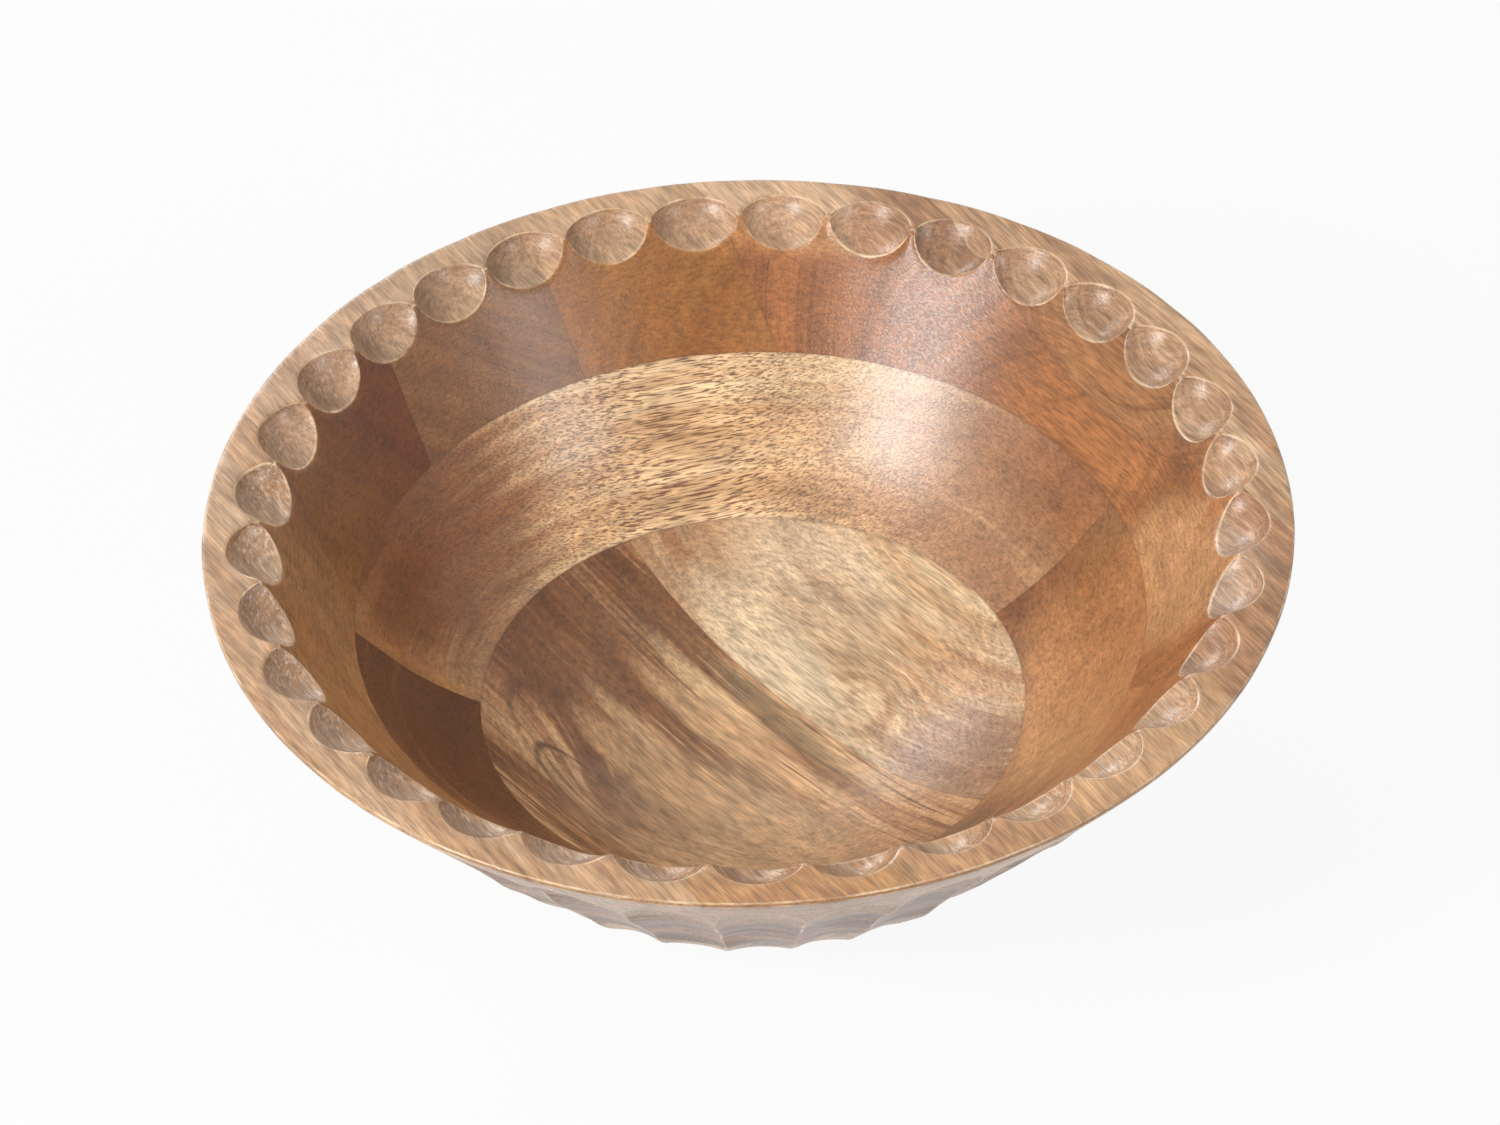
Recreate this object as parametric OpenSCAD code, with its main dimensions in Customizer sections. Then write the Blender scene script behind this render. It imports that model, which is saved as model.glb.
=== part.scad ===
// Dough bowl carved from three glued layers of boards.
// The lip is scooped into scallops and the outside is gouged into flutes that line up with them.
// Millimetres and degrees. +Z is up, the origin is the middle of the underside, -Y is the front.

/* [Bowl] */
// Diameter over the rim
rim_d = 360; // [300:1:420]
// Diameter of the straight-sided blank at its foot, before the flutes turn it under
foot_d = 176; // [150:1:200]
// Height of the upright edge below the rim face
rim_edge_h = 2; // [1:0.5:4]

/* [Hollow] */
// Width of the rim face before the lip is carved
rim_w = 18; // [16:0.5:21]
// Thickness of the floor
floor_t = 17; // [13:1:21]
// Diameter of the flat middle of the floor
floor_flat_d = 36; // [24:1:48]

/* [Layers] */
// Thickness of the base layer
base_layer_t = 40; // [34:0.5:46]
// Thickness of the middle layer
middle_layer_t = 41.5; // [35:0.5:48]
// Thickness of the rim layer
rim_layer_t = 38.5; // [33:0.5:45]

/* [Boards] */
// Direction of the grain in the rim layer, from +X
rim_grain_angle = -58; // [-70:1:-46]
// Direction of the grain in the middle layer, from +X
middle_grain_angle = 11.7; // [0:0.1:24]
// Joint between the two middle boards, from the middle of the bowl
middle_joint = 20.5; // [10:0.5:30]
// Direction of the grain in the base layer, from +X
base_grain_angle = -49; // [-60:1:-38]
// Joint between the two base boards, from the middle of the bowl
base_joint = 22.5; // [14:0.5:30]

/* [Carving] */
// Number of scallops round the lip, and of flutes round the outside
gouge_count = 33; // [31:1:35]
// Radius of the scoop that cuts a scallop
scallop_r = 17.8; // [16.5:0.1:19]
// Height of a scoop's centre above the rim face
scallop_lift = 7.7; // [6.5:0.1:9]
// Width of rim face left outside the scallops
rim_flat_w = 8.4; // [7.5:0.1:9.5]
// Radius of the gouge that cuts a flute
flute_r = 43; // [38:1:48]
// Depth below the rim face at which a flute starts
flute_top_drop = 15; // [12:0.5:20]
// Extra depth that brings neighbouring flutes to a sharp ridge
ridge_cut = 0.1; // [0.05:0.05:0.3]

/* [Hidden] */
$fn = 128;
// Facets of the large rounds
large_fn = 256;
// Distance that cuts run past the wood
overrun = 6;
// Azimuth of the first scallop and flute, at the front
first_az = -90;
// How far beside a board the scallops and flutes can still reach it, as a share of the rim radius
gouge_reach_share = 1 / 3;
// Joints of the rim layer from the middle of the bowl, front left to back right, as shares of the rim radius
rim_joint_shares = [-0.61, -0.28, 0.095, 0.447, 0.8];

// Layers, from the underside up
middle_top = base_layer_t + middle_layer_t;
bowl_h = middle_top + rim_layer_t;

// Outside: a straight-sided blank, whose flutes turn under along a sphere about the bowl's own axis
rim_r = rim_d / 2;
foot_r = foot_d / 2;
wall_lean = atan((rim_r - foot_r) / (bowl_h - rim_edge_h));
turn_wall_r = foot_r + base_layer_t * tan(wall_lean);
turn_r = turn_wall_r / cos(wall_lean);
base_r = sqrt(pow(turn_r, 2) - pow(base_layer_t + turn_wall_r * tan(wall_lean), 2));

// Hollow: a wall with the same lean, and a curve that is tangent to it and to the flat floor
lip_r = rim_r - rim_w;
floor_flat_r = floor_flat_d / 2;
hollow_gap = (lip_r - floor_flat_r) * cos(wall_lean) - (bowl_h - floor_t) * sin(wall_lean);
floor_curve_r = hollow_gap / (1 - sin(wall_lean));
curve_end_r = floor_flat_r + floor_curve_r * cos(wall_lean);
curve_end_h = floor_t + floor_curve_r * (1 - sin(wall_lean));

// Ends of a board along its grain: a whole board, or the part of it on one side of the hollow
board_reach = rim_r + overrun;
whole = [-board_reach, board_reach];
far_end = [-board_reach, 0];
near_end = [0, board_reach];

// Joints of the rim layer, numbered from the front left
rim_joints = rim_r * rim_joint_shares;

// Scallops
gouge_pitch = 360 / gouge_count;
scallop_pos_r = rim_r - rim_flat_w - sqrt(pow(scallop_r, 2) - pow(scallop_lift, 2));

// Flutes: at each height the gouge goes as deep as makes a flute as wide as its share of the wall
function flute_depth(wall_r, round_r) =
    pow(2 * wall_r * sin(gouge_pitch / 2), 2) / 8 * (1 / flute_r + 1 / round_r) + ridge_cut;

// Places along the wall, measured up it from the top of the base layer
flute_foot = turn_r * sin(90 - wall_lean - asin(base_r / turn_r));
flute_exit = middle_layer_t / cos(wall_lean);
flute_head = (bowl_h - flute_top_drop - base_layer_t) / cos(wall_lean);
flute_runout = flute_head - flute_exit;

flute_head_r = turn_wall_r + flute_head * sin(wall_lean);
head_depth = flute_depth(flute_head_r, flute_head_r / cos(wall_lean));
foot_depth = flute_depth(base_r, turn_r);
flute_tilt = atan((head_depth - foot_depth) / (flute_head + flute_foot));
turn_depth = foot_depth + flute_foot * tan(flute_tilt);
flute_exit_r = (pow(flute_runout, 2) + pow(head_depth, 2)) / (2 * head_depth);
flute_flare = turn_r - sqrt(pow(turn_r, 2) - pow(flute_foot + overrun, 2));

// Half section of the blank's outside, solid to the axis
module outside_section() {
    polygon([
        [0, 0], [foot_r, 0], [rim_r, bowl_h - rim_edge_h], [rim_r, bowl_h], [0, bowl_h]
    ]);
}

// Half section of the hollow, carried past the rim face
module hollow_section() {
    polygon([
        [0, curve_end_h], [curve_end_r, curve_end_h], [lip_r, bowl_h],
        [lip_r, bowl_h + overrun], [0, bowl_h + overrun]
    ]);
    translate([0, floor_t]) square([floor_flat_r, curve_end_h - floor_t]);
    intersection() {
        translate([floor_flat_r, floor_t + floor_curve_r]) circle(floor_curve_r, $fn = large_fn);
        translate([floor_flat_r, floor_t]) square([curve_end_r - floor_flat_r, curve_end_h - floor_t]);
    }
}

// The turned bowl between two heights
module turned_layer(low, high) {
    rotate_extrude($fn = large_fn) difference() {
        intersection() {
            outside_section();
            translate([0, low]) square([rim_r, high - low]);
        }
        hollow_section();
    }
}

// Room taken by one board: a strip along the grain, between two joints and two ends
module board_strip(grain, joints, ends) {
    rotate([0, 0, grain])
        translate([ends[0], joints[0], 0])
            cube([ends[1] - ends[0], joints[1] - joints[0], bowl_h]);
}

// One scoop of the lip, at azimuth 0
module scallop() {
    translate([scallop_pos_r, 0, bowl_h + scallop_lift]) sphere(scallop_r);
}

// Sets the axis of a gouge sweep outside the wall, at azimuth 0, with Z up the wall
module beside_wall() {
    translate([turn_wall_r, 0, base_layer_t])
        rotate([0, wall_lean, 0])
            translate([-turn_depth, 0, 0])
                rotate([0, -flute_tilt, 0])
                    translate([flute_r, 0, 0]) children();
}

// Top of a flute, where the gouge leaves the wood through the rim layer
module flute_top() {
    beside_wall() rotate_extrude() intersection() {
        translate([flute_r - flute_exit_r, flute_exit]) circle(flute_exit_r, $fn = large_fn);
        translate([0, flute_exit - overrun]) square([flute_r + overrun, flute_runout + 2 * overrun]);
    }
}

// Straight run of a flute, down the middle layer
module flute_run() {
    beside_wall() translate([0, 0, -overrun]) cylinder(r = flute_r, h = flute_exit + 2 * overrun);
}

// Foot of a flute, where it turns under through the base layer
module flute_turn() {
    beside_wall() rotate_extrude() difference() {
        translate([0, -flute_foot - overrun])
            square([flute_r + flute_flare + overrun, flute_foot + 2 * overrun]);
        translate([flute_r + turn_r, 0]) circle(turn_r, $fn = large_fn);
    }
}

// Whether a gouge at this azimuth can reach a board
function reaches(az, joints, ends) =
    let (along = rim_r * cos(az), across = rim_r * sin(az), reach = rim_r * gouge_reach_share)
    along > ends[0] - reach && along < ends[1] + reach &&
    across > joints[0] - reach && across < joints[1] + reach;

// Cuts the second child out of the first at each place round the bowl that can reach the board
module gouged(grain, joints, ends, i = 0) {
    az = first_az + i * gouge_pitch;
    if (i == gouge_count) children(0);
    else if (reaches(az - grain, joints, ends)) difference() {
        gouged(grain, joints, ends, i + 1) {
            children(0);
            children(1);
        }
        rotate([0, 0, az]) children(1);
    }
    else gouged(grain, joints, ends, i + 1) {
        children(0);
        children(1);
    }
}

// A board of the layer between two heights, before it is carved
module plain_board(low, high, grain, joints, ends) {
    intersection() {
        turned_layer(low, high);
        board_strip(grain, joints, ends);
    }
}

// A board of the rim layer, with scallops and the tops of the flutes
module rim_board(joints, ends = whole) {
    gouged(rim_grain_angle, joints, ends) {
        gouged(rim_grain_angle, joints, ends) {
            plain_board(middle_top, bowl_h, rim_grain_angle, joints, ends);
            flute_top();
        }
        scallop();
    }
}

// A board of the middle layer
module middle_board(joints) {
    gouged(middle_grain_angle, joints, whole) {
        plain_board(base_layer_t, middle_top, middle_grain_angle, joints, whole);
        flute_run();
    }
}

// A board of the base layer
module base_board(joints) {
    gouged(base_grain_angle, joints, whole) {
        plain_board(0, base_layer_t, base_grain_angle, joints, whole);
        flute_turn();
    }
}

module rim_board_front_left() { color("#a88460") rim_board([-board_reach, rim_joints[0]]); }
module rim_board_left() { color("#8a6141") rim_board([rim_joints[0], rim_joints[1]], far_end); }
module rim_board_front() { color("#a5754a") rim_board([rim_joints[0], rim_joints[1]], near_end); }
module rim_board_back_left() { color("#99765a") rim_board([rim_joints[1], rim_joints[2]], far_end); }
module rim_board_front_right() { color("#b08d66") rim_board([rim_joints[1], rim_joints[2]], near_end); }
module rim_board_back() { color("#a06f45") rim_board([rim_joints[2], rim_joints[3]], far_end); }
module rim_board_right() { color("#ab8560") rim_board([rim_joints[2], rim_joints[3]], near_end); }
module rim_board_inner_right() { color("#9c7450") rim_board([rim_joints[3], rim_joints[4]]); }
module rim_board_outer_right() { color("#b28f69") rim_board([rim_joints[4], board_reach]); }
module middle_board_back() { color("#bd9468") middle_board([middle_joint, board_reach]); }
module middle_board_front() { color("#7d5537") middle_board([-board_reach, middle_joint]); }
module base_board_left() { color("#8f6845") base_board([-board_reach, base_joint]); }
module base_board_right() { color("#c39f74") base_board([base_joint, board_reach]); }

rim_board_front_left();
rim_board_left();
rim_board_front();
rim_board_back_left();
rim_board_front_right();
rim_board_back();
rim_board_right();
rim_board_inner_right();
rim_board_outer_right();
middle_board_back();
middle_board_front();
base_board_left();
base_board_right();
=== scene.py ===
# %% [markdown]
# # A carved dough bowl, board by board
# The real bowl starts as three layers of mango-wood boards glued into one block. The block is turned, and
# then a gouge scoops the lip into scallops and cuts flutes down the outside. This lesson makes it in the
# same order: carve one gouge's share of the wall, repeat it round the axis, saw the result along the glue
# joints, and give each board its own wood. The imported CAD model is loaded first, as the fixed frame that
# every board has to fit.

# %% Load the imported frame
import math

import bmesh
import bpy
import numpy as np
from mathutils import Matrix, Vector


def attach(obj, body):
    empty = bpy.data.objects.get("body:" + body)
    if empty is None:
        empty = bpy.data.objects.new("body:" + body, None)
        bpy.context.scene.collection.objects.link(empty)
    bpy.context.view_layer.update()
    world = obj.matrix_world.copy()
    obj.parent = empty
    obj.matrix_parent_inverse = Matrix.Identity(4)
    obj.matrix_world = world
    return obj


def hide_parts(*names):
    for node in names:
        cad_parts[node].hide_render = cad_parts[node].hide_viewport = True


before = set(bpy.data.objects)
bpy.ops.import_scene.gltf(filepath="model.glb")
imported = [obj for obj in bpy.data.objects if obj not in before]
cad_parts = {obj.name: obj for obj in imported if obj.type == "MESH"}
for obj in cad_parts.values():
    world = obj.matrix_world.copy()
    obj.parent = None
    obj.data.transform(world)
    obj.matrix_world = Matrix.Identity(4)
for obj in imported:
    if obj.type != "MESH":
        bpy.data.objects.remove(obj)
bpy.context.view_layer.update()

# %% [markdown]
# ## The sizes
# These are the maker's own sizes in millimetres, the same ones that the solids have. The outside is a
# straight-sided blank, and the gouge follows a line that turns under it near the foot. The hollow has a wall
# with the same lean and a floor that curves into it. The rest is worked out from these few sizes, so that
# a change of one of them moves everything that follows it.

# %% Sizes of the bowl, in millimetres
MM = 0.001                   # Blender works in metres
RIM_R = 180.0
FOOT_R = 88.0                # where the straight wall of the blank meets the table
BOWL_H = 120.0
RIM_EDGE_H = 2.0             # upright edge at the top of the wall
LIP_R = 162.0                # mouth of the hollow
FLOOR_T = 17.0
FLOOR_FLAT_R = 18.0
BASE_TOP = 40.0              # top of the base layer
MIDDLE_TOP = 81.5            # top of the middle layer
GOUGES = 33
SCALLOP_R = 17.8             # the round gouge that scoops the lip
SCALLOP_LIFT = 7.7           # how far above the rim its centre is
RIM_FLAT_W = 8.4             # flat left outside a scallop
FLUTE_R = 43.0               # the round gouge that cuts the outside
FLUTE_DROP = 15.0            # how far below the rim a flute ends
RIDGE_CUT = 0.1              # how far two flutes run into each other

# %% What follows from them
half_pitch = math.pi / GOUGES
lean = math.atan((RIM_R - FOOT_R) / (BOWL_H - RIM_EDGE_H))
slope = math.tan(lean)
turn_wall_r = FOOT_R + BASE_TOP * slope
turn_r = turn_wall_r / math.cos(lean)
base_r = math.sqrt(turn_r ** 2 - (BASE_TOP + turn_wall_r * slope) ** 2)
hollow_gap = (LIP_R - FLOOR_FLAT_R) * math.cos(lean) - (BOWL_H - FLOOR_T) * math.sin(lean)
floor_curve_r = hollow_gap / (1 - math.sin(lean))
curve_end_h = FLOOR_T + floor_curve_r * (1 - math.sin(lean))
scallop_pos_r = RIM_R - RIM_FLAT_W - math.sqrt(SCALLOP_R ** 2 - SCALLOP_LIFT ** 2)
print("wall leans", round(math.degrees(lean), 2), "degrees; floor curve", round(floor_curve_r, 1), "mm")

# %% [markdown]
# ## What the gouge leaves
# A flute is the trace of a round gouge that runs up the wall and leaves the wood in an arch. Boolean cuts
# could make it, but they leave long thin triangles and ragged shading. Here the gouge's surface is solved
# instead: for a place round the bowl and a height, how far out does the wood still reach?

# %% The path of the flute gouge
def flute_depth(wall_r, round_r):
    """How deep the gouge goes where a flute takes up its whole share of the wall."""
    return (2 * wall_r * math.sin(half_pitch)) ** 2 / 8 * (1 / FLUTE_R + 1 / round_r) + RIDGE_CUT


flute_foot = turn_r * math.sin(math.pi / 2 - lean - math.asin(base_r / turn_r))
flute_exit = (MIDDLE_TOP - BASE_TOP) / math.cos(lean)
flute_head = (BOWL_H - FLUTE_DROP - BASE_TOP) / math.cos(lean)
head_r = turn_wall_r + flute_head * math.sin(lean)
head_depth = flute_depth(head_r, head_r / math.cos(lean))
foot_depth = flute_depth(base_r, turn_r)
tilt = math.atan((head_depth - foot_depth) / (flute_head + flute_foot))
turn_depth = foot_depth + flute_foot * math.tan(tilt)
exit_r = ((flute_head - flute_exit) ** 2 + head_depth ** 2) / (2 * head_depth)
print("flutes are", round(foot_depth, 2), "mm deep at the foot and", round(head_depth, 2), "mm at the head")

# %% How much wood is left
MOST_TURN_SHARE = 0.99       # keeps the root below real far under the foot, where there is no wood


def turned(x, z, angle):
    """Turns a point of the upright section about the level axis."""
    return x * math.cos(angle) + z * math.sin(angle), z * math.cos(angle) - x * math.sin(angle)


def wood_left(radius, angle, height):
    """Above zero inside the wood, below zero where the gouge has passed."""
    x, z = turned(radius * np.cos(angle) - turn_wall_r, height - BASE_TOP, -lean)
    x, z = turned(x + turn_depth, z, tilt)
    past_exit = np.clip(z - flute_exit, 0, exit_r)
    below_turn = np.clip(-z, 0, MOST_TURN_SHARE * turn_r)
    gouge = FLUTE_R - exit_r + np.sqrt(exit_r ** 2 - past_exit ** 2)
    gouge = gouge + turn_r - np.sqrt(turn_r ** 2 - below_turn ** 2)
    return np.hypot(x - FLUTE_R, radius * np.sin(angle)) - gouge


print("at the foot the gouge passes the ridge by", round(-float(wood_left(base_r, half_pitch, 0.0)), 2), "mm")

# %% Where the carved surface lies
DEEP_R = 20.0                # surely inside the wood
LOW_H = 50.0                 # surely below the head of a flute


def blank_r(height):
    """Radius of the turned blank before the gouge."""
    return np.minimum(FOOT_R + height * slope, RIM_R)


def halve(low, high, is_low, steps=44):
    """Closes in on the place where is_low turns from true to false."""
    for _ in range(steps):
        middle = (low + high) / 2
        below = is_low(middle)
        low, high = np.where(below, middle, low), np.where(below, high, middle)
    return low


def wall_r(angle, height):
    """Radius of the carved wall."""
    outside = blank_r(height)
    return halve(outside * 0 + DEEP_R, outside, lambda r: wood_left(r, angle, height) > 0)


def arch_height(angle):
    """Height at which the gouge leaves the wood."""
    return halve(angle * 0 + LOW_H, angle * 0 + BOWL_H - RIM_EDGE_H,
                 lambda h: wood_left(blank_r(h), angle, h) < 0)


print("flute arch at", round(float(arch_height(np.zeros(1))[0]), 1), "mm, ridge starts at",
      round(float(arch_height(np.full(1, half_pitch))[0]), 1), "mm")

# %% [markdown]
# ## One gouge's share of the wall
# The bowl is the same wedge 33 times, so only one wedge is drawn. Its columns fan out from the axis, and its
# rows run from the underside up the flute, over the rim, down the scallop and along the floor. A plain grid
# that is cut by the gouge would need far more faces for the same edges. Here the rows follow the carved
# edges exactly, so the edges stay crisp with few faces. Three numbers are kept at each point for the wood:
# how near it is to a carved edge, how much the gouge touched it, and whether it is in the oiled hollow.

# %% Columns of the wedge
SCOOPED_COLUMNS = 27
A_HAIR = 1e-6                # for numbers that are equal but for rounding


def packed_ends(count, share=0.6):
    """Steps from 0 to 1 that lie closer together at both ends."""
    even = np.linspace(0, 1, count)
    return (1 - share) * even + share * (1 - np.cos(math.pi * even)) / 2


lip_turn = math.acos((LIP_R ** 2 + scallop_pos_r ** 2 - SCALLOP_R ** 2 + SCALLOP_LIFT ** 2)
                     / (2 * LIP_R * scallop_pos_r))
inner_turns = lip_turn * (2 * packed_ends(SCOOPED_COLUMNS, 0.35) - 1)
turns = np.concatenate([[-half_pitch], inner_turns, [half_pitch]])
scooped = np.abs(turns) <= lip_turn * (1 + A_HAIR)     # the two outermost columns pass beside the scallop
across = len(turns)
arch_h = arch_height(turns)
base_edge_r = wall_r(turns, turns * 0)
print("columns:", across, "over", round(math.degrees(2 * half_pitch), 2), "degrees")

# %% The scallop at each column
# A ball-ended gouge leaves a circle in each upright plane through the axis. It starts at the flat of the rim
# and ends where it meets the leaning wall of the hollow.
ball_x = scallop_pos_r * np.cos(turns)
ball_r = np.sqrt(SCALLOP_R ** 2 - (scallop_pos_r * np.sin(turns)) ** 2)
ball_z = BOWL_H + SCALLOP_LIFT
rim_in_r = np.where(scooped, ball_x + np.sqrt(np.maximum(ball_r ** 2 - SCALLOP_LIFT ** 2, 0)), LIP_R)
top_angle = np.arctan2(BOWL_H - ball_z, rim_in_r - ball_x)
meets_wall = (LIP_R + slope * SCALLOP_LIFT - ball_x) / (ball_r * math.hypot(1, slope))
low_angle = -lean - np.arccos(np.clip(meets_wall, -1, 1))
scallop_low_h = np.where(scooped, ball_z + ball_r * np.sin(low_angle), BOWL_H)
print("scallop reaches", round(float(BOWL_H - scallop_low_h.min()), 1), "mm below the rim")

# %% Rows from the underside over the rim to the floor
UNDERSIDE_R = (40.0, 56.0)
FOOT_INSETS = (4.0, 1.4, 0.5)                      # rows that crowd towards the edge of the foot
FLUTE_ROWS, BAND_ROWS, FLAT_ROWS, SCALLOP_ROWS, WALL_ROWS, FLOOR_ROWS = 42, 9, 9, 18, 22, 34
RIM_EDGE_SHARES = (0.8, 0.5, 0.2, 0.0)             # rows up the upright edge, as shares still to go
CUT, SANDED, UNTOUCHED = 1.0, 0.15, 0.0            # how much the gouge shows

rows = []


def row(radius, height, edge=False, gouged=SANDED, hollow=0.0):
    """Adds a row of points: is it a carved edge, how much does the gouge show, is it in the hollow?"""
    rows.append((turns * 0 + radius, turns * 0 + height, edge, gouged, hollow))


for ring_r in UNDERSIDE_R:
    row(ring_r, 0, gouged=UNTOUCHED)
for inset in FOOT_INSETS:
    row(base_edge_r - inset, 0, gouged=UNTOUCHED)
for share in packed_ends(FLUTE_ROWS):
    row(wall_r(turns, arch_h * share), arch_h * share, edge=share in (0, 1), gouged=CUT)
for share in packed_ends(BAND_ROWS)[1:]:
    level = arch_h + (BOWL_H - RIM_EDGE_H - arch_h) * share
    row(blank_r(level), level, edge=share == 1)
for share in RIM_EDGE_SHARES:
    row(RIM_R, BOWL_H - RIM_EDGE_H * share, edge=share == 0)
for share in packed_ends(FLAT_ROWS)[1:]:
    row(RIM_R + (rim_in_r - RIM_R) * share, BOWL_H, edge=share == 1)
for share in packed_ends(SCALLOP_ROWS)[1:]:
    bend = top_angle + (low_angle - top_angle) * share
    row(np.where(scooped, ball_x + ball_r * np.cos(bend), LIP_R),
        np.where(scooped, ball_z + ball_r * np.sin(bend), BOWL_H),
        edge=share == 1, gouged=CUT, hollow=float(share == 1))
for share in packed_ends(WALL_ROWS)[1:]:
    level = scallop_low_h + (curve_end_h - scallop_low_h) * share
    row(LIP_R - (BOWL_H - level) * slope, level, hollow=1.0)
for bend in np.linspace(math.pi / 2 - lean, 0, FLOOR_ROWS)[1:]:
    row(FLOOR_FLAT_R + floor_curve_r * math.sin(bend),
        FLOOR_T + floor_curve_r * (1 - math.cos(bend)), hollow=1.0)
print("rows:", len(rows), "of which carved edges:", sum(kept[2] for kept in rows))

# %% Distance to the nearest carved edge
# Along a column it is measured over the rows, and in a flute also across to the ridge beside it.
OUTSIDE_R = 60.0             # flutes lie outside this radius

radius, height, is_edge, touched, hollow = (np.array(column) for column in zip(*rows))
touched, hollow = (np.repeat(values[:, None], across, axis=1) for values in (touched, hollow))

steps = np.hypot(np.diff(radius, axis=0), np.diff(height, axis=0))
along = np.vstack([np.zeros(across), np.cumsum(steps, axis=0)])
to_edge = np.abs(along[:, None, :] - along[None, is_edge, :]).min(axis=1)
in_flute = (touched == CUT) & (height < arch_h[None, :] + A_HAIR) & (radius > OUTSIDE_R)
to_ridge = radius * (half_pitch - np.abs(turns))[None, :]
to_edge = np.where(in_flute, np.minimum(to_edge, to_ridge), to_edge)
print("furthest from an edge:", round(float(to_edge.max()), 1), "mm")

# %% The wedge as a mesh
points = np.stack([radius * np.cos(turns), radius * np.sin(turns), height], axis=-1) * MM
first = (np.arange(len(rows) - 1)[:, None] * across + np.arange(across - 1)[None, :]).ravel()
quads = np.stack([first, first + across, first + across + 1, first + 1], axis=-1)

wedge_mesh = bpy.data.meshes.new("gouge_wedge")
wedge_mesh.from_pydata(points.reshape(-1, 3).tolist(), [], quads.tolist())
for name, values in (("edge_mm", to_edge), ("gouged", touched), ("hollow", hollow)):
    layer = wedge_mesh.attributes.new(name, "FLOAT", "POINT")
    layer.data.foreach_set("value", values.astype(np.float32).ravel())
wedge = bpy.data.objects.new("gouge_wedge", wedge_mesh)
bpy.context.scene.collection.objects.link(wedge)
print("wedge:", len(quads), "faces")

# %% [markdown]
# ## Repeat the wedge round the axis
# On the bench the same two gouges are struck 33 times round the bowl. A loop could copy the mesh, but
# Geometry Nodes keep the count, the sanding and the hand's drift as inputs that can be turned later. They
# spin the wedge round the axis, weld the wedges together, and then add what a hand does: edges a little
# rounded by sanding, and cuts that are never quite the same. The drift comes from noise with a fixed seed,
# so the bowl comes out alike each time.

# %% One helper that adds a node, for geometry and for materials
FROM, TO = ("From Min", "From Max"), ("To Min", "To Max")     # the ends that a Map Range node has in pairs


def add(tree, kind, inputs=None, **settings):
    """Adds a node with its settings and inputs. A pair of input names takes a pair of values.

    An input may be a number, a colour, a socket, or a node, which stands for its first live output.
    """
    made = tree.nodes.new(kind)
    for key, value in settings.items():
        setattr(made, key, value)
    for keys, values in (inputs or {}).items():
        pairs = zip(keys, values) if isinstance(keys, tuple) else [(keys, values)]
        for key, value in pairs:
            if isinstance(value, bpy.types.Node):
                value = next(socket for socket in value.outputs if socket.enabled)
            if isinstance(value, bpy.types.NodeSocket):
                tree.links.new(value, made.inputs[key])
            else:
                made.inputs[key].default_value = value
    return made


print("helper made: add")

# %% Spin and weld
WELD = 0.01 * MM             # neighbouring wedges meet far closer than this

carve = bpy.data.node_groups.new("carve_round_the_bowl", "GeometryNodeTree")
carve.interface.new_socket("Geometry", in_out="INPUT", socket_type="NodeSocketGeometry")
inputs = {}
for label, kind in (("Gouges", "Int"), ("First Cut", "Float"), ("Sanding", "Int"), ("Sanded Edge", "Float"),
                    ("Drift", "Float"), ("Drift Size", "Float"), ("Seed", "Float"), ("Wood", "Material")):
    inputs[label] = carve.interface.new_socket(label, in_out="INPUT", socket_type="NodeSocket" + kind)
carve.interface.new_socket("Geometry", in_out="OUTPUT", socket_type="NodeSocketGeometry")

given = add(carve, "NodeGroupInput").outputs
starts = add(carve, "GeometryNodePoints", {"Count": given["Gouges"]})
index = add(carve, "GeometryNodeInputIndex")
pitch = add(carve, "ShaderNodeMath", {0: math.tau, 1: given["Gouges"]}, operation="DIVIDE")
angle = add(carve, "ShaderNodeMath", {0: index, 1: pitch, 2: given["First Cut"]}, operation="MULTIPLY_ADD")
spin = add(carve, "ShaderNodeCombineXYZ", {"Z": angle})
wedges = add(carve, "GeometryNodeInstanceOnPoints",
             {"Points": starts, "Instance": given["Geometry"], "Rotation": spin})
real = add(carve, "GeometryNodeRealizeInstances", {"Geometry": wedges})
welded = add(carve, "GeometryNodeMergeByDistance", {"Geometry": real, "Distance": WELD})
print("tree inputs:", ", ".join(inputs))

# %% Sand the edges
place = add(carve, "GeometryNodeInputPosition")
edge_mm = add(carve, "GeometryNodeInputNamedAttribute", {"Name": "edge_mm"}, data_type="FLOAT")
near_edge = add(carve, "ShaderNodeMapRange",
                {"Value": edge_mm, FROM: (0.0, given["Sanded Edge"]), TO: (1.0, 0.0)})
soft = add(carve, "GeometryNodeBlurAttribute",
           {"Value": place, "Iterations": given["Sanding"], "Weight": near_edge}, data_type="FLOAT_VECTOR")
sanded = add(carve, "GeometryNodeSetPosition", {"Geometry": welded, "Position": soft})
print("nodes so far:", len(carve.nodes))

# %% Let the hand drift, and finish the tree
EASE_STEPS = 4               # spreads the drift a little beyond the cuts, so that no step shows
NOISE_MIDDLE = (0.5, 0.5, 0.5)

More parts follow.
